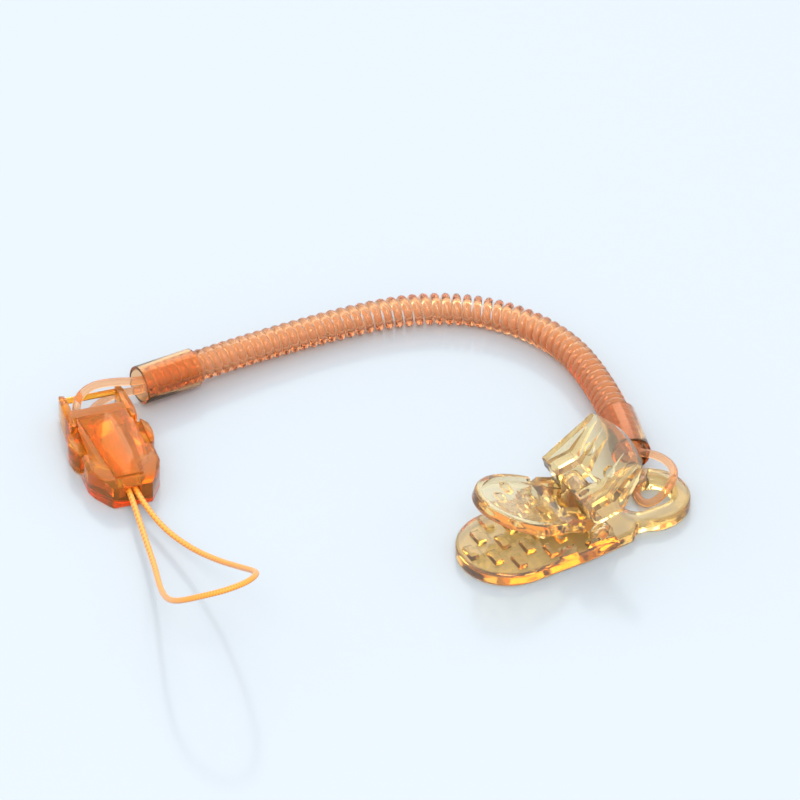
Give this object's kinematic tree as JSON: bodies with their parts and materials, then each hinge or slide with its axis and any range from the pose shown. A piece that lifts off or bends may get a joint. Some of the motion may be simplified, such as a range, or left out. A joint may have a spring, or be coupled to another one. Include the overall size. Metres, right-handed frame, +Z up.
{
  "type": "coil lanyard with flip-lever clip",
  "caption": "Spiral plastic tether: flip-lever clip with toothed jaws at one end, small side-release buckle with a string loop at the other.",
  "frame": {"origin": "on the clip's underside, below the upper jaw's hinge", "axes": "+X along the clip from its jaw to its ring-shaped tail, +Y along both clip hinges, +Z up from the surface it lies on"},
  "size_m": [0.0984, 0.0763, 0.0213],
  "materials": {
    "clip_plastic": "clear amber injection-moulded plastic, polished",
    "buckle_plastic": "clear orange injection-moulded plastic, polished",
    "coil_plastic": "clear peach-orange flexible plastic cord, glossy",
    "collar_plastic": "clear orange flexible plastic sleeve, glossy",
    "string": "shiny twisted golden-orange cord"
  },
  "bodies": {
    "tether": {"clip_base": "clip_plastic", "coil_cord": "coil_plastic", "end_loop_clip": "coil_plastic", "end_loop_buckle": "coil_plastic", "collar_clip_end": "collar_plastic", "collar_buckle_end": "collar_plastic", "buckle_plug": "buckle_plastic"},
    "lever": {"cam_lever": "clip_plastic"},
    "jaw": {"upper_jaw": "clip_plastic"},
    "left_arm": {"release_arm_left": "buckle_plastic"},
    "right_arm": {"release_arm_right": "buckle_plastic"},
    "socket": {"buckle_socket": "buckle_plastic", "strap_knot": "string", "strap_cord": "string"}
  },
  "joints": [
    {"name": "lever_hinge", "type": "hinge", "parent": "tether", "child": "lever", "pos_m": [-0.0013, 0, 0.0092], "axis": [0, 1, 0], "range_deg": [-125, 8]},
    {"name": "jaw_hinge", "type": "hinge", "parent": "tether", "child": "jaw", "pos_m": [-0.0008, 0, 0.0044], "axis": [0, 1, 0], "range_deg": [-23, 1.6]},
    {"name": "buckle_release", "type": "slide", "parent": "tether", "child": "socket", "axis": [-0.195, -0.9808, 0], "range_m": [0, 0.017]},
    {"name": "right_arm_squeeze", "type": "hinge", "parent": "tether", "child": "right_arm", "pos_m": [-0.05552, 0.05768, 0.0025], "axis": [0, 0, -1], "range_deg": [0, 6], "stiffness_Nm_per_rad": 0.05},
    {"name": "left_arm_squeeze", "type": "hinge", "parent": "tether", "child": "left_arm", "pos_m": [-0.06317, 0.0592, 0.0025], "axis": [0, 0, 1], "range_deg": [0, 6], "stiffness_Nm_per_rad": 0.05}
  ],
  "couplings": [
    {"joint": "jaw_hinge", "follows": "lever_hinge", "ratio": 0.184}
  ]
}
